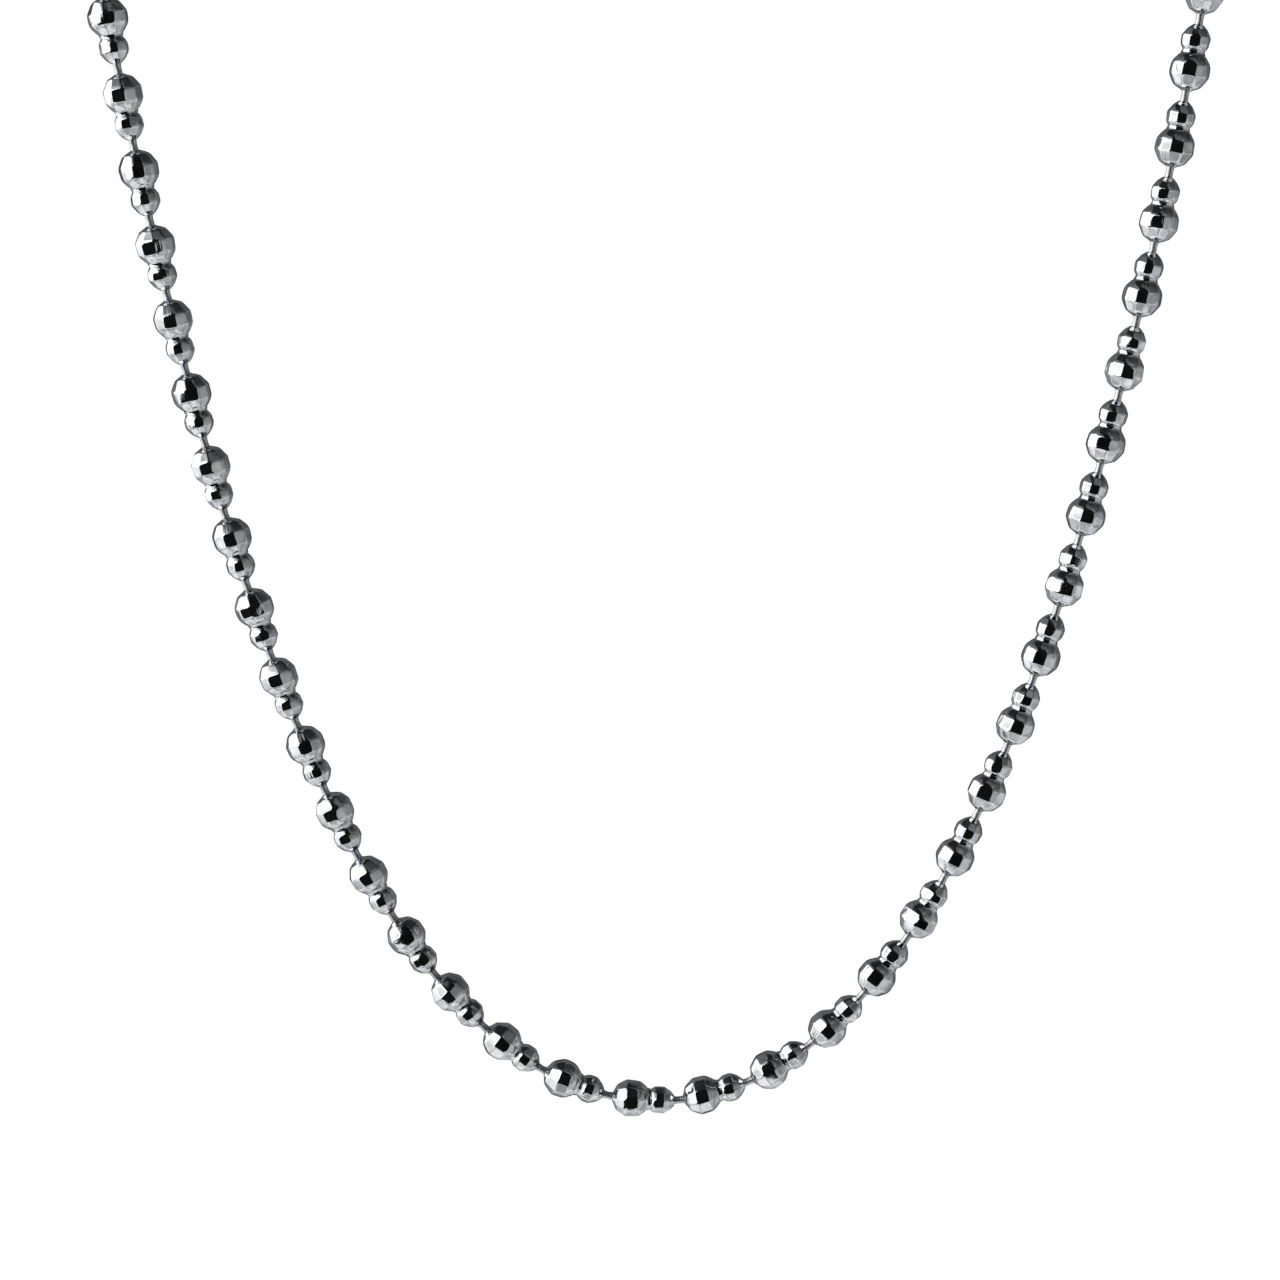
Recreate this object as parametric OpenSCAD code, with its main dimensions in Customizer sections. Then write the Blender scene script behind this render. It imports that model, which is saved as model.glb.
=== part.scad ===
// Ball chain necklace: faceted double balls joined by short headed pins, hung round an open neck.
// Millimetres, Z up. The front of the loop faces -Y and the origin is where it rests on the nape.

/* [Double ball] */
// Diameter of the big ball over the corners of its facets
big_ball_d = 3.0; // [2.8:0.1:3.6]
// Diameter of the small ball over the corners of its facets
small_ball_d = 2.2; // [2.1:0.1:2.6]
// Distance between the centres of the two balls
ball_spacing = 2.2; // [1.9:0.1:2.5]
// Diameter of the neck where the two balls join
neck_d = 1.84; // [1.6:0.02:1.9]
// Number of flat facets round a ball
facets_round = 10; // [8:1:12]
// Latitude of the last facet corners on the free end of each ball
end_lat = 50; // [46:1:54]
// Degrees of latitude that the end row of facets covers
end_row = 38; // [34:1:42]
// Degrees of latitude that the middle row of facets covers
middle_row = 30; // [26:1:36]
// Length of the collar round each hole, past the last facet corners
collar_len = 0.3; // [0.2:0.05:0.4]
// Wall of the collar round each hole
collar_wall = 0.1; // [0.08:0.01:0.16]
// Thinnest wall between a facet and the hollow of its ball
ball_wall = 0.22; // [0.16:0.01:0.26]

/* [Pin] */
// Diameter of the pin
pin_d = 0.5; // [0.4:0.05:0.6]
// Clearance round the pin in each hole
pin_clearance = 0.16; // [0.14:0.01:0.18]
// Diameter of the round head on each end of the pin
head_d = 0.94; // [0.92:0.01:1.0]
// How far a head hangs back from the wall that stops it
head_play = 0.06; // [0.06:0.01:0.1]
// Bare length of pin between two collars
pin_gap = 0.72; // [0.6:0.01:1.2]

/* [Clasp] */
// Length of the barrel clasp between its end faces
clasp_len = 9.2; // [8:0.1:12]
// Diameter of the barrel clasp
clasp_d = 3.4; // [3.2:0.1:4.2]
// Wall of the barrel clasp and of its two ends
clasp_wall = 0.5; // [0.4:0.05:0.6]
// Length of the taper at each end of the clasp
clasp_taper = 1.2; // [0.8:0.1:1.6]
// How far the clasp has slipped round from the middle of the nape
clasp_shift = 1.6; // [0:0.1:3]

/* [Loop] */
// Radius of the bend at the lowest point of the hanging front
bend_r = 15.6; // [14:0.05:20]
// Length of chain from the lowest point up to the collarbone, on each side
front_len = 102; // [90:1:120]
// Distance from the hanging front back to the nape
neck_depth = 82; // [75:1:100]
// Height of the nape above the collarbone
nape_rise = 20; // [10:1:30]
// How far the chain keeps its line as it passes over the collarbone
collarbone_reach = 34; // [28:1:40]
// How far the chain keeps its line on each side of the nape
nape_reach = 68; // [60:1:80]

/* [Hidden] */

silver = [0.80, 0.81, 0.83];
round_fn = 32;
end_room = 1;

big_r = big_ball_d / 2;
small_r = small_ball_d / 2;
head_r = head_d / 2;
hole_r = pin_d / 2 + pin_clearance;
mouth_r = hole_r + collar_wall;

// Three rings of facet corners on each ball, at these latitudes from its end towards the neck.
facet_angle = 360 / facets_round;
ring_lats = [end_lat, end_lat - end_row, end_lat - end_row - middle_row];
neck_z = (big_r * big_r - small_r * small_r + ball_spacing * ball_spacing) / (2 * ball_spacing);
big_mouth_z = -big_r * sin(end_lat) - collar_len;
small_mouth_z = ball_spacing + small_r * sin(end_lat) + collar_len;
bead_len = small_mouth_z - big_mouth_z;

// The hollows stay one wall inside the flats of the facets.
flat_share = cos(facet_angle / 2) * cos(end_row / 2);
big_hollow_r = big_r * flat_share - ball_wall;
small_hollow_r = small_r * flat_share - ball_wall;
big_hole_len = -big_mouth_z - sqrt(pow(big_hollow_r, 2) - pow(hole_r, 2));
small_hole_len = small_mouth_z - ball_spacing - sqrt(pow(small_hollow_r, 2) - pow(hole_r, 2));

// A pin swivels about the middle of each hole, and its head hangs inside.
big_pivot_z = big_mouth_z + big_hole_len / 2;
small_pivot_z = small_mouth_z - small_hole_len / 2;
bead_reach = small_pivot_z - big_pivot_z;
clasp_reach = clasp_len - clasp_wall;
head_seat = head_r + head_play;

// The front is a hanging curve. A cubic carries it back over the collarbone to the nape.
front_step = 1;
back_steps = 90;
nape = [0, clasp_d / 2, 0];
front_y = nape.y - neck_depth;
front_drop = sqrt(pow(bend_r, 2) + pow(front_len, 2)) - bend_r;
bottom_z = nape.z - nape_rise - front_drop;
front_slope = [bend_r, 0, front_len] / norm([bend_r, front_len]);
collarbone = front_point(front_len);
handles = [collarbone, collarbone + collarbone_reach * front_slope, nape + [nape_reach, 0, 0], nape];

function hyper(t) = ln(t + sqrt(t * t + 1));
function front_point(s) = [
    bend_r * hyper(s / bend_r),
    front_y,
    bottom_z + sqrt(bend_r * bend_r + s * s) - bend_r
];
function back_point(t) =
    pow(1 - t, 3) * handles[0]
    + 3 * pow(1 - t, 2) * t * handles[1]
    + 3 * (1 - t) * pow(t, 2) * handles[2]
    + pow(t, 3) * handles[3];

right_half = [
    for (s = [0:front_step:front_len - front_step / 2]) front_point(s),
    for (k = [0:back_steps]) back_point(k / back_steps)
];
half_count = len(right_half);
left_half = [for (k = [half_count - 1:-1:1]) [-right_half[k].x, right_half[k].y, right_half[k].z]];
route = concat(left_half, right_half);
route_s = [
    for (k = 0, s = 0; k < len(route); s = s + run_to(k + 1), k = k + 1) s
];
route_len = route_s[len(route) - 1];
route_x = [for (k = [0:len(route) - 1]) [route_s[k], route[k].x]];
route_y = [for (k = [0:len(route) - 1]) [route_s[k], route[k].y]];
route_z = [for (k = [0:len(route) - 1]) [route_s[k], route[k].z]];

function run_to(k) = k < len(route) ? norm(route[k] - route[k - 1]) : 0;
function on_route(s) = (s + route_len) % route_len;
function route_point(s) = [
    lookup(on_route(s), route_x),
    lookup(on_route(s), route_y),
    lookup(on_route(s), route_z)
];

// Beads fill the loop from one end of the clasp to the other, with equal bare pins between.
bead_count = round((route_len - clasp_len - pin_gap) / (bead_len + pin_gap));
bare_len = (route_len - clasp_len - bead_count * bead_len) / (bead_count + 1);
left_count = floor(bead_count / 2);
first_pivot_s = clasp_shift + clasp_len / 2 + bare_len + big_hole_len / 2;
clasp_end_s = clasp_reach / 2;

function bead_start(i) = route_point(first_pivot_s + i * (bead_len + bare_len));
function bead_end(i) = route_point(first_pivot_s + i * (bead_len + bare_len) + bead_reach);
function bead_roll(i) = facet_angle * (i * 0.618 - floor(i * 0.618));

// Rings of facet corners along a bead, each a radius and a height.
function corners(r, z, lats) = [for (lat = lats) [r * cos(lat), z + r * sin(lat)]];
bead_rings = concat(
    [[mouth_r, big_mouth_z]],
    corners(big_r, 0, [for (k = [0, 1, 2]) -ring_lats[k]]),
    [[neck_d / 2, neck_z]],
    corners(small_r, ball_spacing, [for (k = [2, 1, 0]) ring_lats[k]]),
    [[mouth_r, small_mouth_z]]
);
last_ring = (len(bead_rings) - 1) * facets_round;
round_steps = [0:facets_round - 1];

bead_points = [
    for (ring = bead_rings, k = round_steps)
        [ring.x * cos(k * facet_angle), ring.x * sin(k * facet_angle), ring.y]
];
function facet(low, k) =
    let (next = (k + 1) % facets_round)
    [low + k, low + facets_round + k, low + facets_round + next, low + next];
bead_faces = concat(
    [[for (k = round_steps) k]],
    [for (low = [0:facets_round:last_ring - 1], k = round_steps) facet(low, k)],
    [[for (k = round_steps) last_ring + facets_round - 1 - k]]
);

// Stands its children's Z axis along the line from one point to another.
module along(from, to) {
    d = to - from;
    translate(from)
        rotate([0, acos(d.z / norm(d)), atan2(d.y, d.x)])
            children();
}

// One double ball: faceted outside, two round hollows inside, drilled from end to end.
module double_ball() {
    difference() {
        polyhedron(bead_points, bead_faces);
        sphere(r = big_hollow_r, $fn = round_fn);
        translate([0, 0, ball_spacing])
            sphere(r = small_hollow_r, $fn = round_fn);
        translate([0, 0, big_mouth_z - end_room])
            cylinder(r = hole_r, h = bead_len + 2 * end_room, $fn = round_fn);
    }
}

module bead(i) {
    from = bead_start(i);
    to = bead_end(i);
    along(from, to)
        translate([0, 0, (norm(to - from) - bead_reach) / 2 - big_pivot_z])
            rotate([0, 0, bead_roll(i)])
                double_ball();
}

module beads_left() {
    color(silver)
        for (i = [0:left_count - 1])
            bead(i);
}

module beads_right() {
    color(silver)
        for (i = [left_count:bead_count - 1])
            bead(i);
}

// A pin from the middle of one hole to the middle of the next, with a head inside each.
module pin(from, to, from_hole, to_hole) {
    low = -from_hole / 2 - head_seat;
    high = norm(to - from) + to_hole / 2 + head_seat;
    along(from, to)
        union() {
            translate([0, 0, low])
                cylinder(d = pin_d, h = high - low, $fn = round_fn);
            translate([0, 0, low])
                sphere(d = head_d, $fn = round_fn);
            translate([0, 0, high])
                sphere(d = head_d, $fn = round_fn);
        }
}

module link_pins() {
    color(silver) {
        pin(route_point(clasp_shift + clasp_end_s), bead_start(0), clasp_wall, big_hole_len);
        for (i = [0:bead_count - 2])
            pin(bead_end(i), bead_start(i + 1), small_hole_len, big_hole_len);
        pin(
            bead_end(bead_count - 1),
            route_point(clasp_shift - clasp_end_s),
            small_hole_len,
            clasp_wall
        );
    }
}

// One plain barrel, hollow for the two pin heads, with a hole in each tapered end.
module barrel_clasp() {
    from = route_point(clasp_shift - clasp_end_s);
    to = route_point(clasp_shift + clasp_end_s);
    color(silver)
        along(from, to)
            translate([0, 0, (norm(to - from) - clasp_len) / 2])
                difference() {
                    union() {
                        translate([0, 0, clasp_taper])
                            cylinder(d = clasp_d, h = clasp_len - 2 * clasp_taper, $fn = round_fn);
                        cylinder(d1 = 2 * mouth_r + clasp_wall, d2 = clasp_d, h = clasp_taper, $fn = round_fn);
                        translate([0, 0, clasp_len - clasp_taper])
                            cylinder(d1 = clasp_d, d2 = 2 * mouth_r + clasp_wall, h = clasp_taper, $fn = round_fn);
                    }
                    translate([0, 0, -end_room])
                        cylinder(r = hole_r, h = clasp_len + 2 * end_room, $fn = round_fn);
                    translate([0, 0, clasp_wall])
                        cylinder(r = head_r + pin_clearance, h = clasp_len - 2 * clasp_wall, $fn = round_fn);
                }
}

beads_left();
beads_right();
link_pins();
barrel_clasp();
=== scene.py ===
import random
from math import acos, asin, asinh, atan2, cos, exp, hypot, pi, radians, sin, sqrt

import bpy
from mathutils import Matrix, Vector


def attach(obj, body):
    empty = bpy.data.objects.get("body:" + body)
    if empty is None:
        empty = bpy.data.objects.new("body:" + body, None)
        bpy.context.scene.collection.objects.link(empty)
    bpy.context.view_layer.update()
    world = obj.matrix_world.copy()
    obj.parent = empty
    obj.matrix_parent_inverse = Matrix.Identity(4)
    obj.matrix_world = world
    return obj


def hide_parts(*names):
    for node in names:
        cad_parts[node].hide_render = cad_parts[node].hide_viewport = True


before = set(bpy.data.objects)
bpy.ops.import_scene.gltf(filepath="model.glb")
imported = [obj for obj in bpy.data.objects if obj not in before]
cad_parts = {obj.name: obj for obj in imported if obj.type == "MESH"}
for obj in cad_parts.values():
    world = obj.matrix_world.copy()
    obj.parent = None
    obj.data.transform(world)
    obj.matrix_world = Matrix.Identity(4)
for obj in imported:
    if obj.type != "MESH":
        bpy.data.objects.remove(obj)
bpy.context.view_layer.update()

mm = 0.001
scene = bpy.context.scene

# The camera is close to the hanging front and looks a little down on it
shot = {
    "target": Vector((-1.24, -80.3, -71.89)),  # mm
    "distance": 230,  # mm
    "elevation": 10,  # degrees
    "frameWidth": 95.02,  # mm across the picture, at the target
    "sensor": 36,
    "roll": -0.27,  # degrees
    "clipEnd": 20,  # metres
}


def makeCamera():
    data = bpy.data.cameras.new("frontCamera")
    data.sensor_width = shot["sensor"]
    data.lens = shot["sensor"] * shot["distance"] / shot["frameWidth"]
    data.clip_end = shot["clipEnd"]
    camera = bpy.data.objects.new("frontCamera", data)
    scene.collection.objects.link(camera)
    tilt = radians(shot["elevation"])
    away = Vector((0, -cos(tilt), sin(tilt))) * shot["distance"]
    camera.location = (shot["target"] + away) * mm
    roll = Matrix.Rotation(radians(shot["roll"]), 3, "Z")
    camera.rotation_euler = (Matrix.Rotation(pi / 2 - tilt, 3, "X") @ roll).to_euler()
    scene.camera = camera


makeCamera()
print("camera: looking down", shot["elevation"], "degrees")


# Meshes are made in mm and stored in metres

def meshPiece(name, points, faces, finish, facetUv, roundWays):
    mesh = bpy.data.meshes.new(name)
    mesh.from_pydata([p * mm for p in points], [], faces)
    mesh.shade_smooth()
    layer = mesh.uv_layers.new(name="surface")
    layer.data.foreach_set("uv", [value for face in facetUv for corner in face for value in corner])
    # which way the plain round form faces under the cuts, for the painted dark outline: painted shade at
    # the silver's silhouettes, standing in for the dark surroundings mirrored there
    ways = mesh.attributes.new("roundForm", "FLOAT_VECTOR", "POINT")
    ways.data.foreach_set("vector", [value for way in roundWays for value in way])
    mesh.materials.append(finish)
    mesh.validate()
    piece = bpy.data.objects.new(name, mesh)
    scene.collection.objects.link(piece)
    weight = piece.modifiers.new("flatFacets", "WEIGHTED_NORMAL")
    weight.mode = "FACE_AREA_WITH_ANGLE"
    weight.weight = 80  # the wide facets shade flat and their soft edges take up the turn
    return piece


def standingFrom(start, end):  # turns +Z along the line, as the solids are turned
    line = (end - start).normalized()
    lean = Matrix.Rotation(acos(max(-1, min(1, line.z))), 4, "Y")
    return Matrix.Translation(start) @ Matrix.Rotation(atan2(line.y, line.x), 4, "Z") @ lean


def tubeFaces(lines, across):  # closed both ways: round the tube and end to end
    faces = []
    for line in range(lines):
        following = (line + 1) % lines
        for column in range(across):
            beside = (column + 1) % across
            faces.append((
                line * across + column,
                line * across + beside,
                following * across + beside,
                following * across + column,
            ))
    return faces


# Finishes

polish = {
    "linesFadeOut": 0.44,  # patch noise below which there are no tool lines
    "linesFull": 0.66,  # and above which they are at full height
    "hazePerMm": 1.3,
    "noiseLow": 0.35,  # a noise texture seldom leaves these limits
    "noiseHigh": 0.65,
    "lightTone": (0.93, 0.95, 0.985, 1),
    "deepTone": (0.87, 0.89, 0.93, 1),
    "grazingTint": (0.45, 0.46, 0.48, 1),  # darker where it turns away
}


def node(tree, kind, **inputs):
    made = tree.nodes.new(kind)
    for name, value in inputs.items():
        socket = made.inputs[name]
        if isinstance(value, bpy.types.NodeSocket):
            tree.links.new(value, socket)
        else:
            socket.default_value = value
    return made


def mathNode(tree, operation, first, second):
    made = tree.nodes.new("ShaderNodeMath")
    made.operation = operation
    for socket, value in zip(made.inputs, (first, second)):
        if isinstance(value, bpy.types.NodeSocket):
            tree.links.new(value, socket)
        else:
            socket.default_value = value
    return made.outputs[0]


def mixSocket(mix, kind, name):  # a Mix node has sockets of the same name for each kind of value
    sockets = mix.outputs if name == "Result" else mix.inputs
    return next(s for s in sockets if s.name == name and s.type == kind)


def makePolishGroup():  # fine tool lines, soft waviness and a thin haze left by polishing
    tree = bpy.data.node_groups.new("polishedMetal", "ShaderNodeTree")
    face = tree.interface
    face.new_socket(name="Surface", in_out="INPUT", socket_type="NodeSocketVector")
    for name, value in (
        ("Lines per mm", 3.0), ("Line Stretch", 0.1), ("Line Height", 0.1), ("Patches per mm", 0.2),
        ("Waves per mm", 2.0), ("Wave Height", 1.0),
        ("Roughness Low", 0.05), ("Roughness High", 0.1),
    ):
        socket = face.new_socket(name=name, in_out="INPUT", socket_type="NodeSocketFloat")
        socket.default_value = value
    for name, value in (("Light Tone", polish["lightTone"]), ("Deep Tone", polish["deepTone"])):
        socket = face.new_socket(name=name, in_out="INPUT", socket_type="NodeSocketColor")
        socket.default_value = value
    face.new_socket(name="Height", in_out="OUTPUT", socket_type="NodeSocketFloat")
    face.new_socket(name="Roughness", in_out="OUTPUT", socket_type="NodeSocketFloat")
    face.new_socket(name="Color", in_out="OUTPUT", socket_type="NodeSocketColor")

    given = tree.nodes.new("NodeGroupInput").outputs
    result = tree.nodes.new("NodeGroupOutput").inputs

    surface = given["Surface"]
    split = node(tree, "ShaderNodeSeparateXYZ", Vector=surface)
    across = mathNode(tree, "MULTIPLY", split.outputs["Y"], given["Line Stretch"])
    drawn = node(tree, "ShaderNodeCombineXYZ", X=split.outputs["X"], Y=across)
    drawn = drawn.outputs[0]
    lines = node(tree, "ShaderNodeTexNoise", Vector=drawn, Scale=given["Lines per mm"], Detail=2.0)
    waves = node(tree, "ShaderNodeTexNoise", Vector=surface, Scale=given["Waves per mm"], Detail=1.0)
    haze = node(tree, "ShaderNodeTexNoise", Vector=surface, Scale=polish["hazePerMm"], Detail=3.0)

    # the lines are strong in some places and fade out in others
    patches = node(tree, "ShaderNodeTexNoise", Vector=surface, Scale=given["Patches per mm"], Detail=0.0)
    strong = node(tree, "ShaderNodeMapRange", Value=patches.outputs["Fac"])
    strong.inputs["From Min"].default_value = polish["linesFadeOut"]
    strong.inputs["From Max"].default_value = polish["linesFull"]
    lineHeight = mathNode(tree, "MULTIPLY", lines.outputs["Fac"], given["Line Height"])
    lineHeight = mathNode(tree, "MULTIPLY", lineHeight, strong.outputs[0])
    waveHeight = mathNode(tree, "MULTIPLY", waves.outputs["Fac"], given["Wave Height"])
    tree.links.new(mathNode(tree, "ADD", lineHeight, waveHeight), result["Height"])

    spread = node(tree, "ShaderNodeMapRange", Value=haze.outputs["Fac"])
    spread.inputs["From Min"].default_value = polish["noiseLow"]
    spread.inputs["From Max"].default_value = polish["noiseHigh"]
    tree.links.new(given["Roughness Low"], spread.inputs["To Min"])
    tree.links.new(given["Roughness High"], spread.inputs["To Max"])
    tree.links.new(spread.outputs[0], result["Roughness"])

    tone = tree.nodes.new("ShaderNodeMix")
    tone.data_type = "RGBA"
    tree.links.new(haze.outputs["Fac"], mixSocket(tone, "VALUE", "Factor"))
    tree.links.new(given["Light Tone"], mixSocket(tone, "RGBA", "A"))
    tree.links.new(given["Deep Tone"], mixSocket(tone, "RGBA", "B"))
    tree.links.new(mixSocket(tone, "RGBA", "Result"), result["Color"])
    return tree


polishGroup = makePolishGroup()


def silverFinish(name, bumpHeight, paintedRimStart, paintedRimFull, paintedRimTone, values):
    finish = bpy.data.materials.new(name)
    finish.use_nodes = True
    tree = finish.node_tree
    shader = tree.nodes["Principled BSDF"]
    shader.inputs["Metallic"].default_value = 1.0
    shader.inputs["Specular Tint"].default_value = polish["grazingTint"]
    uv = tree.nodes.new("ShaderNodeUVMap")
    uv.uv_map = "surface"
    worked = tree.nodes.new("ShaderNodeGroup")
    worked.node_tree = polishGroup
    tree.links.new(uv.outputs["UV"], worked.inputs["Surface"])
    for label, value in values.items():
        worked.inputs[label].default_value = value
    bump = tree.nodes.new("ShaderNodeBump")
    bump.inputs["Strength"].default_value = 1.0
    bump.inputs["Distance"].default_value = bumpHeight * mm
    tree.links.new(worked.outputs["Height"], bump.inputs["Height"])
    roundForm = tree.nodes.new("ShaderNodeAttribute")
    roundForm.attribute_name = "roundForm"
    # painted shade: the base colour turns to a flat grey towards the silhouettes, where the round form
    # turns away from the camera
    turnedAway = node(tree, "ShaderNodeLayerWeight", Blend=0.5, Normal=roundForm.outputs["Vector"])
    paintedOutline = node(tree, "ShaderNodeMapRange", Value=turnedAway.outputs["Facing"])
    paintedOutline.inputs["From Min"].default_value = paintedRimStart
    paintedOutline.inputs["From Max"].default_value = paintedRimFull
    shaded = tree.nodes.new("ShaderNodeMix")
    shaded.data_type = "RGBA"
    tree.links.new(paintedOutline.outputs[0], mixSocket(shaded, "VALUE", "Factor"))
    tree.links.new(worked.outputs["Color"], mixSocket(shaded, "RGBA", "A"))
    mixSocket(shaded, "RGBA", "B").default_value = (paintedRimTone, paintedRimTone, paintedRimTone, 1)
    tree.links.new(mixSocket(shaded, "RGBA", "Result"), shader.inputs["Base Color"])
    tree.links.new(worked.outputs["Roughness"], shader.inputs["Roughness"])
    tree.links.new(bump.outputs["Normal"], shader.inputs["Normal"])
    return finish


# The barrel clasp: its solid's form with rounded edges
clasp = {
    "length": 9.2,
    "diameter": 3.4,
    "wall": 0.5,
    "taper": 1.2,
    "endDiameter": 1.52,
    "shift": 1.6,  # how far it has slipped round from the middle of the nape
    "roundEdge": 0.1,
    "shoulder": 0.75,  # how much of the rounding falls below the shoulder
    "inset": 0.006,  # how far the barrel stays inside its solid
    "lipDepth": 0.08,
    "lipStep": 0.02,
    "lipCut": 0.03,
    "headRoom": 0.16,  # round the pin's head
    "segments": 72,
}

# The line that the chain follows: hanging front, collarbones and nape
loop = {
    "bendRadius": 15.6,
    "frontLength": 102,
    "neckDepth": 82,
    "napeRise": 20,
    "collarboneReach": 34,
    "napeReach": 68,
    "frontStep": 1,
    "backSteps": 90,
}


def chainLine():
    nape = Vector((0, clasp["diameter"] / 2, 0))
    radius, frontLength = loop["bendRadius"], loop["frontLength"]
    frontY = nape.y - loop["neckDepth"]
    bottomZ = nape.z - loop["napeRise"] - hypot(radius, frontLength) + radius

    def frontPoint(s):
        return Vector((radius * asinh(s / radius), frontY, bottomZ + hypot(radius, s) - radius))

    slope = Vector((radius, 0, frontLength)).normalized()
    collarbone = frontPoint(frontLength)
    handles = (
        collarbone,
        collarbone + slope * loop["collarboneReach"],
        nape + Vector((loop["napeReach"], 0, 0)),
        nape,
    )
    right = [frontPoint(s) for s in range(0, frontLength, loop["frontStep"])]
    for step in range(loop["backSteps"] + 1):
        t = step / loop["backSteps"]
        shares = ((1 - t) ** 3, 3 * (1 - t) ** 2 * t, 3 * (1 - t) * t * t, t ** 3)
        right.append(sum((h * w for h, w in zip(handles, shares)), Vector()))
    left = [Vector((-p.x, p.y, p.z)) for p in reversed(right[1:])]
    points = left + right
    runs = [0.0]
    for a, b in zip(points, points[1:]):
        runs.append(runs[-1] + (b - a).length)
    return points, runs


linePoints, lineRuns = chainLine()
lineLength = lineRuns[-1]


def onLine(s):  # the point s mm round the loop from the nape
    s %= lineLength
    low, high = 0, len(lineRuns) - 1
    while high - low > 1:
        middle = (low + high) // 2
        if lineRuns[middle] <= s:
            low = middle
        else:
            high = middle
    share = (s - lineRuns[low]) / (lineRuns[high] - lineRuns[low])
    return linePoints[low].lerp(linePoints[high], share)


# A double ball: a big and a small ball with cut facets, drawn in to a hole at each end
bead = {
    "bigRadius": 1.5,
    "smallRadius": 1.1,
    "spacing": 2.2,
    "neckRadius": 0.97,
    "facets": 10,
    "endLatitude": 50,
    "endRow": 38,
    "collar": 0.3,
    "holeRadius": 0.41,
    "ballWall": 0.22,
    "gap": 0.72,  # bare pin between two beads
    "lipInner": 0.355,
    "lipOuter": 0.40,
    "lipBack": 0.05,  # how far the soft lip stays behind the drilled mouth; half of it at the big end
    "lipRound": 0.02,  # how much the lip is rounded, and how far that runs in and out
    "lipRoundIn": 0.03,
    "lipRoundOut": 0.04,
    "neckHollow": 0.5,
    "hollowRings": (-0.35, 0.25),  # heights of the widest rings inside, from the centre of each ball
    "hollowInset": (0.11, 0.07),  # how much smaller they are than the hollow of the solid
    "rows": (50, 14, -20),  # latitudes of the facet corners, from the end to the neck
    "ballShare": 0.976,  # the round ball that is left between the cuts, against the corners
    "edgeShare": 0.07,  # share of a facet that its soft edge takes, on each side
    "edgeDrop": 0.006,
    "crownAcross": 0.005,  # how far the middle of a facet stands proud
    "crownAlong": 0.007,
    "crownPlay": 0.004,
    "tiltPlay": 0.030,  # how far one side of a facet may be cut deeper than the other
    "azimuthPlay": 3.5,  # degrees, from bead to bead
    "latitudePlay": 1.8,  # degrees
    "cornerPlay": 0.018,
    "seed": 11,
    "rollShare": 0.618,  # each bead is turned by this share of a facet more than the one before
    "facetStops": (0.26, 0.74),  # where the mesh has more lines across a facet
    "capStops": (0, 0.5),
    "cutRings": (5, 11),  # the first and the last ring with facet corners
    "patch": 0.9,  # mm of the surface pattern that one facet takes
    "patchShift": 7.31,  # mm between the patches of neighbouring rings
    "facetShift": 3,  # rings' worth of shift from facet to facet
    "beadShift": 1.7,  # mm, from bead to bead
}


def beadMeasures():
    turn = 360 / bead["facets"]
    flatShare = cos(radians(turn / 2)) * cos(radians(bead["endRow"] / 2))
    hole = bead["holeRadius"]
    out = sin(radians(bead["endLatitude"]))
    bigMouth = -bead["bigRadius"] * out - bead["collar"]
    smallMouth = bead["spacing"] + bead["smallRadius"] * out + bead["collar"]
    bigHollow = bead["bigRadius"] * flatShare - bead["ballWall"]
    smallHollow = bead["smallRadius"] * flatShare - bead["ballWall"]
    bigHole = -bigMouth - sqrt(bigHollow ** 2 - hole ** 2)
    smallHole = smallMouth - bead["spacing"] - sqrt(smallHollow ** 2 - hole ** 2)
    length = smallMouth - bigMouth
    count = round((lineLength - clasp["length"] - bead["gap"]) / (length + bead["gap"]))
    big, small, spacing = bead["bigRadius"], bead["smallRadius"], bead["spacing"]
    neckZ = (big ** 2 - small ** 2 + spacing ** 2) / (2 * spacing)
    return {
        "turn": turn,
        "bigMouth": bigMouth,
        "smallMouth": smallMouth,
        "bigHole": bigHole,
        "smallHole": smallHole,
        "bigHollow": bigHollow,
        "smallHollow": smallHollow,
        "bigPivot": bigMouth + bigHole / 2,
        "smallPivot": smallMouth - smallHole / 2,
        "length": length,
        "count": count,
        "bare": (lineLength - clasp["length"] - count * length) / (count + 1),
        "neckZ": neckZ,
    }


size = beadMeasures()
firstPivot = clasp["shift"] + clasp["length"] / 2 + size["bare"] + size["bigHole"] / 2
beadReach = size["smallPivot"] - size["bigPivot"]


def beadStart(i):
    return onLine(firstPivot + i * (size["length"] + size["bare"]))


def beadEnd(i):
    return onLine(firstPivot + i * (size["length"] + size["bare"]) + beadReach)


print("chain:", size["count"], "double balls on", round(lineLength, 1), "mm")


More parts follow.
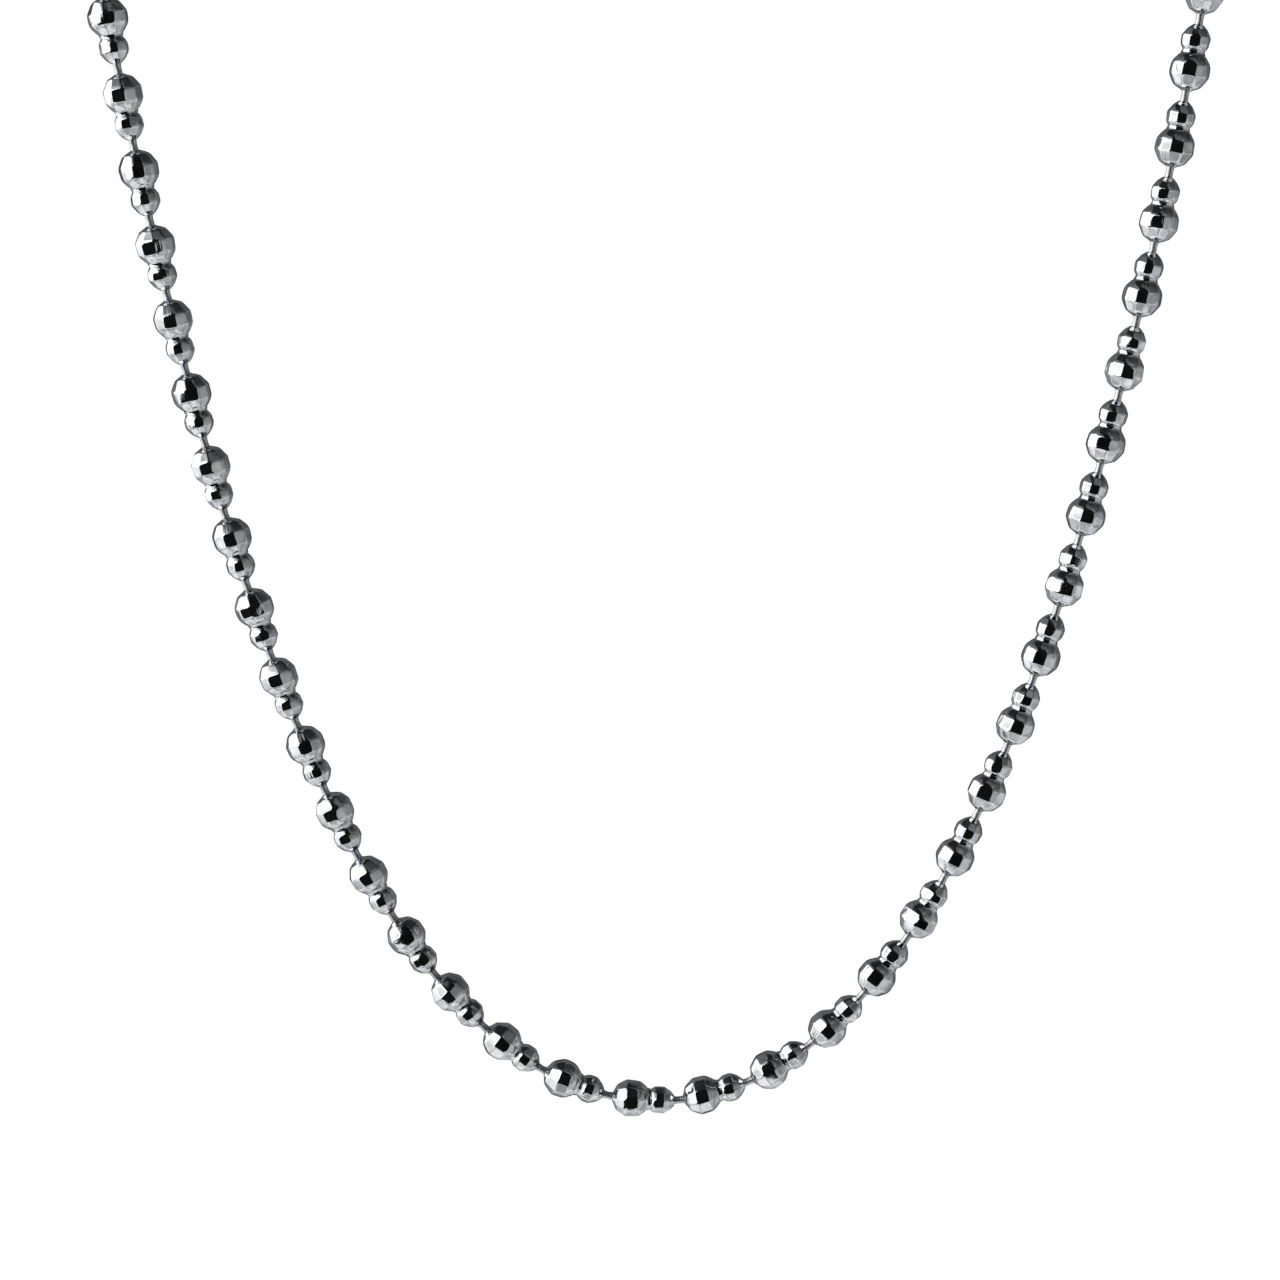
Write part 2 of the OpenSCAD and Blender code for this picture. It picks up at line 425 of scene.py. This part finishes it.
def beadRings(dice):  # (height, radius, whether it has facet corners) from the big end to the small end
    def cut(radius, centre, latitude):
        angle = radians(latitude + dice.uniform(-1, 1) * bead["latitudePlay"])
        return (centre + radius * sin(angle), radius * cos(angle), True)

    bigMouth = size["bigMouth"] + bead["lipBack"] / 2
    smallMouth = size["smallMouth"] - bead["lipBack"]
    inner, outer, rounding = bead["lipInner"], bead["lipOuter"], bead["lipRound"]
    inward, outward = bead["lipRoundIn"], bead["lipRoundOut"]
    bigRing, smallRing = bead["hollowRings"]
    bigInset, smallInset = bead["hollowInset"]
    return [
        (bigMouth + size["bigHole"], inner, False),
        (bigMouth + inward, inner, False),
        (bigMouth, inner + rounding, False),
        (bigMouth, outer - rounding, False),
        (bigMouth + outward, outer + rounding, False),
        *[cut(bead["bigRadius"], 0, -latitude) for latitude in bead["rows"]],
        (size["neckZ"], bead["neckRadius"], True),
        *[cut(bead["smallRadius"], bead["spacing"], latitude) for latitude in reversed(bead["rows"])],
        (smallMouth - outward, outer + rounding, False),
        (smallMouth, outer - rounding, False),
        (smallMouth, inner + rounding, False),
        (smallMouth - inward, inner, False),
        (smallMouth - size["smallHole"], inner, False),
        (bead["spacing"] + smallRing, size["smallHollow"] - smallInset, False),
        (size["neckZ"], bead["neckHollow"], False),
        (bigRing, size["bigHollow"] - bigInset, False),
    ]


edge = bead["edgeShare"]
facetStops = (0, edge, *bead["facetStops"], 1 - edge)  # shares of a facet, both across and along


def bulge(share):  # 0 on both edges of a facet, 1 in its middle
    return 1 - (2 * share - 1) ** 2


def softness(share):  # 1 on the edge of a facet, 0 past its soft border
    return max(0, 1 - min(share, 1 - share) / edge)


def beadSkin(number):
    dice = random.Random(bead["seed"] * 1000 + number)
    rings = beadRings(dice)
    facets, play = bead["facets"], bead["azimuthPlay"]
    azimuths = [radians(k * size["turn"] + dice.uniform(-play, play)) for k in range(facets)]
    azimuths.append(azimuths[0] + 2 * pi)

    def ringPoints(height, radius, cut):
        reach = [radius + (dice.uniform(-1, 1) * bead["cornerPlay"] if cut else 0) for _ in range(facets)]
        reach.append(reach[0])
        row = []
        for k in range(facets):
            a, b = azimuths[k], azimuths[k + 1]
            first = Vector((reach[k] * cos(a), reach[k] * sin(a), height))
            second = Vector((reach[k + 1] * cos(b), reach[k + 1] * sin(b), height))
            for u in facetStops:
                angle = a + (b - a) * u
                straight = first.lerp(second, u)
                curved = Vector((radius * cos(angle), radius * sin(angle), height))
                row.append(straight if cut else curved)
        return row

    corners = [ringPoints(*ring) for ring in rings]
    across = len(facetStops)
    points, rows = [], []
    for index, (height, radius, cut) in enumerate(rings):
        following = (index + 1) % len(rings)
        faceted = cut and rings[following][2]
        capped = cut != rings[following][2]
        onBig = height + rings[following][0] < 2 * size["neckZ"]
        ball = bead["bigRadius"] if onBig else bead["smallRadius"]
        centre = Vector((0, 0, 0 if onBig else bead["spacing"]))
        crown = [dice.uniform(-1, 1) * bead["crownPlay"] for _ in range(facets)]
        tilt = [[dice.uniform(-1, 1) * bead["tiltPlay"] for _ in range(2)] for _ in range(facets)]
        for v in facetStops if faceted else bead["capStops"] if capped else (0,):
            onCut = faceted or (cut and v == 0)
            for column, low in enumerate(corners[index]):
                p = low.lerp(corners[following][column], v)
                u = facetStops[column % across]
                if faceted or capped:
                    outward = (p - centre).normalized()
                    share = ball / bead["bigRadius"]
                    rise = 0
                    if onCut:
                        rise += bead["crownAcross"] * share * bulge(u) - bead["edgeDrop"] * softness(u)
                    if faceted:
                        rise += bead["crownAlong"] * share * bulge(v) - bead["edgeDrop"] * softness(v)
                        rise += crown[column // across] * share * bulge(u) * bulge(v)
                        if u > 0 and v > 0:
                            aslant = tilt[column // across]
                            rise += share * (aslant[0] * (u - 0.5) + aslant[1] * (v - 0.5))
                    p = p + outward * rise
                    reach = (p - centre).length
                    limit = ball * bead["ballShare"]
                    if onCut and reach > limit:
                        p = centre + (p - centre) * (limit / reach)
                points.append(p)
            rows.append((index, v))
    return points, rows


def makeBeads(name, numbers, node, finish):
    points, faces, uvs, ways = [], [], [], []
    across = bead["facets"] * len(facetStops)
    firstCut, lastCut = bead["cutRings"]
    patch = bead["patch"]
    for number in numbers:
        skin, rows = beadSkin(number)
        start, end = beadStart(number), beadEnd(number)
        roll = radians(size["turn"]) * ((number * bead["rollShare"]) % 1)
        lift = ((end - start).length - beadReach) / 2 - size["bigPivot"]
        place = standingFrom(start, end) @ Matrix.Translation((0, 0, lift)) @ Matrix.Rotation(roll, 4, "Z")
        first = len(points)
        points += [place @ p for p in skin]
        turned = place.to_3x3()
        for p in skin:
            centre = Vector((0, 0, 0 if p.z < size["neckZ"] else bead["spacing"]))
            ways.append(turned @ (p - centre).normalized())
        for face in tubeFaces(len(rows), across):
            faces.append([first + corner for corner in face])
            # each facet gets its own patch of the surface pattern, in mm
            row, column = face[0] // across, face[0] % across
            ring, share = rows[row]
            facet, stop = column // len(facetStops), column % len(facetStops)
            shift = bead["patchShift"] * (ring + bead["facetShift"] * facet) + bead["beadShift"] * number
            width = patch * facetStops[stop]
            height = patch * share
            nextWidth = patch * (facetStops + (1,))[stop + 1]
            step = 0.25 if firstCut <= ring <= lastCut else 0.5  # of its patch, for one mesh row
            nextHeight = patch * min(1, share + step)
            uvs.append([
                (shift + width, shift + height), (shift + nextWidth, shift + height),
                (shift + nextWidth, shift + nextHeight), (shift + width, shift + nextHeight),
            ])
    piece = meshPiece(name, points, faces, finish, uvs, ways)
    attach(piece, "root")
    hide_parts(node)


# each silver finish gets a painted dark rim toward its silhouettes (painted shade), set by the rim values
cutSilver = silverFinish(
    "cutSilver", bumpHeight=0.012, paintedRimStart=0.70, paintedRimFull=0.88, paintedRimTone=0.36,
    values={
        "Lines per mm": 3.2, "Line Stretch": 0.06, "Line Height": 2.2, "Patches per mm": 0.21,
        "Waves per mm": 1.3, "Wave Height": 0.35,
        "Roughness Low": 0.04, "Roughness High": 0.09,
    },
)
half = size["count"] // 2
makeBeads("beadsLeft", range(half), "beads_left", cutSilver)
makeBeads("beadsRight", range(half, size["count"]), "beads_right", cutSilver)
print("beads: facets cut, edges softened")


# The pins: drawn wire that flares where it enters a bead, with a round head inside
pin = {
    "radius": 0.265,
    "flare": 0.03,
    "flareReach": 0.2,  # how far the flare runs out along the wire
    "flareInside": 0.3,
    "headRadius": 0.47,
    "headPlay": 0.06,
    "headSteps": 6,
    "headTip": 0.04,  # radians left open at the tip of a head
    "mouthRows": (-0.16, -0.08, -0.03, 0, 0.05, 0.1, 0.16, 0.22, 0.29),  # mm outward from each hole's mouth
    "segments": 20,
}


def pinProfile(length, lowHole, highHole):  # (height, radius) from one head to the other
    seat = pin["headRadius"] + pin["headPlay"]
    low, high = -lowHole / 2 - seat, length + highHole / 2 + seat
    lowMouth, highMouth = lowHole / 2, length - highHole / 2

    def wire(z):
        thick = pin["radius"]
        for outside in (z - lowMouth, highMouth - z):
            reach = pin["flareReach"] if outside > 0 else pin["flareInside"]
            thick += pin["flare"] * exp(-((outside / reach) ** 2))
        return thick

    joins = asin(pin["radius"] / pin["headRadius"])
    steps, tip = pin["headSteps"], pin["headTip"]
    angles = [tip + (pi - joins - tip) * step / steps for step in range(steps + 1)]
    profile = []
    for angle in angles:
        profile.append((low - pin["headRadius"] * cos(angle), pin["headRadius"] * sin(angle)))
    for offset in pin["mouthRows"]:
        profile.append((lowMouth + offset, wire(lowMouth + offset)))
    for offset in reversed(pin["mouthRows"]):
        profile.append((highMouth - offset, wire(highMouth - offset)))
    for angle in reversed(angles):
        profile.append((high + pin["headRadius"] * cos(angle), pin["headRadius"] * sin(angle)))
    return profile


def turnedSolid(profile, segments, place, closed):
    points, uvs, ways = [], [], []
    turned = place.to_3x3()
    for height, radius in profile:
        for segment in range(segments):
            angle = 2 * pi * segment / segments
            way = Vector((cos(angle), sin(angle), 0))
            points.append(place @ (way * radius + Vector((0, 0, height))))
            ways.append(turned @ way)
    faces = tubeFaces(len(profile), segments)
    if not closed:
        faces = faces[:-segments]
        faces.append(tuple(reversed(range(segments))))
        last = (len(profile) - 1) * segments
        faces.append(tuple(last + segment for segment in range(segments)))
    run = [0.0]
    for a, b in zip(profile, profile[1:]):
        run.append(run[-1] + hypot(b[0] - a[0], b[1] - a[1]))
    run.append(run[-1] + 1)
    around = 2 * pi * max(radius for _, radius in profile) / segments
    for face in faces:
        if len(face) > 4:
            uvs.append([(0.0, 0.0)] * len(face))
            continue
        line, segment = face[0] // segments, face[0] % segments
        u0, v0, v1 = segment * around, run[line], run[line + 1]
        uvs.append([(v0, u0), (v0, u0 + around), (v1, u0 + around), (v1, u0)])
    return points, faces, uvs, ways


def makePins():
    middle = clasp["length"] / 2 - clasp["wall"] / 2
    leaving, entering = onLine(clasp["shift"] + middle), onLine(clasp["shift"] - middle)
    last = size["count"] - 1
    links = [(leaving, beadStart(0), clasp["wall"], size["bigHole"])]
    for i in range(last):
        links.append((beadEnd(i), beadStart(i + 1), size["smallHole"], size["bigHole"]))
    links.append((beadEnd(last), entering, size["smallHole"], clasp["wall"]))
    points, faces, uvs, ways = [], [], [], []
    for start, end, lowHole, highHole in links:
        profile = pinProfile((end - start).length, lowHole, highHole)
        place = standingFrom(start, end)
        body, skin, patch, outward = turnedSolid(profile, pin["segments"], place, False)
        first = len(points)
        points += body
        faces += [[first + corner for corner in face] for face in skin]
        uvs += patch
        ways += outward
    drawnSilver = silverFinish(
        "drawnSilver", bumpHeight=0.002, paintedRimStart=0.42, paintedRimFull=0.85, paintedRimTone=0.35,
        values={
            "Lines per mm": 2.0, "Line Stretch": 3.0, "Line Height": 0.2, "Patches per mm": 0.5,
            "Waves per mm": 1.0, "Wave Height": 0.4,
            "Roughness Low": 0.40, "Roughness High": 0.46,
        },
    )
    piece = meshPiece("linkPins", points, faces, drawnSilver, uvs, ways)
    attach(piece, "root")
    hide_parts("link_pins")


makePins()
print("pins: headed wire between the beads")


def makeClasp():
    length, wall, taper, soft = clasp["length"], clasp["wall"], clasp["taper"], clasp["roundEdge"]
    radius, end = clasp["diameter"] / 2 - clasp["inset"], clasp["endDiameter"] / 2
    hole, room = bead["holeRadius"], pin["headRadius"] + clasp["headRoom"]
    lip, step, cut = clasp["lipDepth"], clasp["lipStep"], clasp["lipCut"]
    lower = [
        (wall, room), (wall, hole), (lip, hole), (step, hole + cut), (0, hole + lip),
        (0, end - soft), (step, end - cut), (lip, end + cut),
        (taper - soft, radius - soft * clasp["shoulder"]), (taper, radius - step), (taper + soft, radius),
    ]
    upper = [(length - height, thick) for height, thick in reversed(lower)]
    start = onLine(clasp["shift"] - length / 2 + wall / 2)
    finish = onLine(clasp["shift"] + length / 2 - wall / 2)
    centred = Matrix.Translation((0, 0, ((finish - start).length - length) / 2))
    place = standingFrom(start, finish) @ centred
    body, skin, patch, ways = turnedSolid(lower + upper, clasp["segments"], place, True)
    turnedSilver = silverFinish(
        "turnedSilver", bumpHeight=0.004, paintedRimStart=0.75, paintedRimFull=0.95, paintedRimTone=0.22,
        values={
            "Lines per mm": 3.0, "Line Stretch": 0.06, "Line Height": 0.5, "Patches per mm": 0.2,
            "Waves per mm": 0.7, "Wave Height": 1.0,
            "Roughness Low": 0.05, "Roughness High": 0.11,
        },
    )
    piece = meshPiece("barrelClasp", body, skin, turnedSilver, patch, ways)
    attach(piece, "root")
    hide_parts("barrel_clasp")


makeClasp()
print("clasp: turned barrel at the nape")


# The studio: a white floor, and light and dark cards that the silver mirrors.
# The camera doesn't see the cards, and the silver doesn't mirror the floor
studio = {
    "centre": Vector((0, -0.06, -0.06)),
    "cardDistance": 3.0,
    "cardStagger": 0.02,  # how much nearer each card hangs than the one before it
    "cardGrid": 6,  # degrees between the mesh lines of a card
    "floorDrop": 0.13,  # metres below the nape
    "floorSize": 6.0,
    "floorGlow": 1.02,
    # each card at its bottom and its top: (elevation, azimuths of its left and right edge from
    # the camera's side, brightness on its left and right)
    "cards": {
        "dome": ((-90, -180, 180, 0.10, 0.10), (90, -180, 180, 0.01, 0.01)),
        "table": ((-90, -180, 180, 0.66, 0.66), (-36, -180, 180, 0.62, 0.60)),
        "tableLeft": ((-80, -42, 4, 0.50, 0.48), (-48, -42, 4, 0.36, 0.32)),
        "dimBack": ((-46, 122, 238, 0.26, 0.34), (62, 122, 238, 0.06, 0.05)),
        "greyLow": ((-55, 36, 122, 0.36, 0.38), (-14, 33, 122, 0.44, 0.46)),
        "greyRight": ((-14, 31, 122, 0.34, 0.28), (30, 31, 122, 0.06, 0.05)),
        "ceiling": ((60, -180, 180, 0.018, 0.018), (90, -180, 180, 0.015, 0.015)),
        "dimRight": ((29, 33, 110, 0.17, 0.04), (76, 2, 64, 0.085, 0.01)),
        "darkLeft": ((30, -130, -18, 0.19, 0.14), (62, -130, -18, 0.15, 0.10)),
        "blackFront": ((-38, -70, 32, 0.010, 0.003), (31, -70, 32, 0.003, 0.006)),
        "blackHigh": ((31, -24, 34, 0.012, 0.004), (62, -24, 10, 0.004, 0.012)),
        "paleHigh": ((32, -70, -21, 0.66, 0.38), (50, -70, -24, 0.52, 0.26)),
        "underSoftbox": ((-46, -126, -66, 0.54, 0.58), (-12, -126, -54, 0.90, 0.96)),
        "softbox": ((-13, -124, -50, 1.35, 1.35), (37, -124, -27, 1.35, 1.35)),
        "highSoftbox": ((37, -116, -60, 1.3, 1.3), (46, -108, -68, 1.2, 1.2)),
    },
    "cardPlay": 0.42,  # how much the cards' brightness wanders from place to place
    "cardPatches": 1.1,  # wanderings per metre
}


def glowMaterial(name):
    finish = bpy.data.materials.new(name)
    finish.use_nodes = True
    tree = finish.node_tree
    tree.nodes.remove(tree.nodes["Principled BSDF"])
    tone = tree.nodes.new("ShaderNodeAttribute")
    tone.attribute_name = "glow"
    place = tree.nodes.new("ShaderNodeTexCoord")
    around = place.outputs["Object"]
    wander = node(tree, "ShaderNodeTexNoise", Vector=around, Scale=studio["cardPatches"], Detail=3.0)
    share = node(tree, "ShaderNodeMapRange", Value=wander.outputs["Fac"])
    share.inputs["From Min"].default_value = polish["noiseLow"]
    share.inputs["From Max"].default_value = polish["noiseHigh"]
    share.inputs["To Min"].default_value = 1 - studio["cardPlay"]
    share.inputs["To Max"].default_value = 1 + studio["cardPlay"]
    light = node(tree, "ShaderNodeEmission", Color=tone.outputs["Color"], Strength=share.outputs[0])
    tree.links.new(light.outputs[0], tree.nodes["Material Output"].inputs["Surface"])
    return finish


def makeCard(name, order, bottom, top, finish):
    across = max(2, int((bottom[2] - bottom[1]) / studio["cardGrid"]))
    up = max(2, int((top[0] - bottom[0]) / studio["cardGrid"]))
    distance = studio["cardDistance"] - studio["cardStagger"] * order
    points, glows = [], []
    for row in range(up + 1):
        between = [low + (high - low) * row / up for low, high in zip(bottom, top)]
        level, left, right, glowLeft, glowRight = between
        elevation = radians(level)
        for column in range(across + 1):
            share = column / across
            azimuth = radians(left + (right - left) * share)
            way = Vector((sin(azimuth) * cos(elevation), -cos(azimuth) * cos(elevation), sin(elevation)))
            points.append(studio["centre"] + way * distance)
            glows.append(glowLeft + (glowRight - glowLeft) * share)
    wide = across + 1
    faces = [
        (r * wide + c, r * wide + c + 1, (r + 1) * wide + c + 1, (r + 1) * wide + c)
        for r in range(up) for c in range(across)
    ]
    mesh = bpy.data.meshes.new(name)
    mesh.from_pydata(points, [], faces)
    layer = mesh.color_attributes.new("glow", "FLOAT_COLOR", "POINT")
    layer.data.foreach_set("color", [v for glow in glows for v in (glow, glow, glow, 1)])
    mesh.materials.append(finish)
    card = bpy.data.objects.new(name, mesh)
    scene.collection.objects.link(card)
    card.visible_camera = False


def makeStudio():
    finish = glowMaterial("cardGlow")
    for order, (name, (bottom, top)) in enumerate(studio["cards"].items()):
        makeCard(name, order, bottom, top, finish)
    reach, level = studio["floorSize"], -studio["floorDrop"]
    mesh = bpy.data.meshes.new("floor")
    corners = [(x * reach, y * reach, level) for x, y in ((-1, -1), (1, -1), (1, 1), (-1, 1))]
    mesh.from_pydata(corners, [], [(0, 1, 2, 3)])
    floor = bpy.data.objects.new("floor", mesh)
    pale = bpy.data.materials.new("paleFloor")
    pale.use_nodes = True
    lit = pale.node_tree
    lit.nodes.remove(lit.nodes["Principled BSDF"])
    glow = node(lit, "ShaderNodeEmission", Color=(1, 1, 1, 1), Strength=studio["floorGlow"])
    lit.links.new(glow.outputs[0], lit.nodes["Material Output"].inputs["Surface"])
    mesh.materials.append(pale)
    scene.collection.objects.link(floor)
    floor.visible_glossy = False
    world = bpy.data.worlds.new("studio")
    world.use_nodes = True
    world.node_tree.nodes["Background"].inputs["Color"].default_value = (1, 1, 1, 1)
    scene.world = world
    scene.view_settings.view_transform = "Standard"


makeStudio()
print("studio: floor, cards and backdrop")
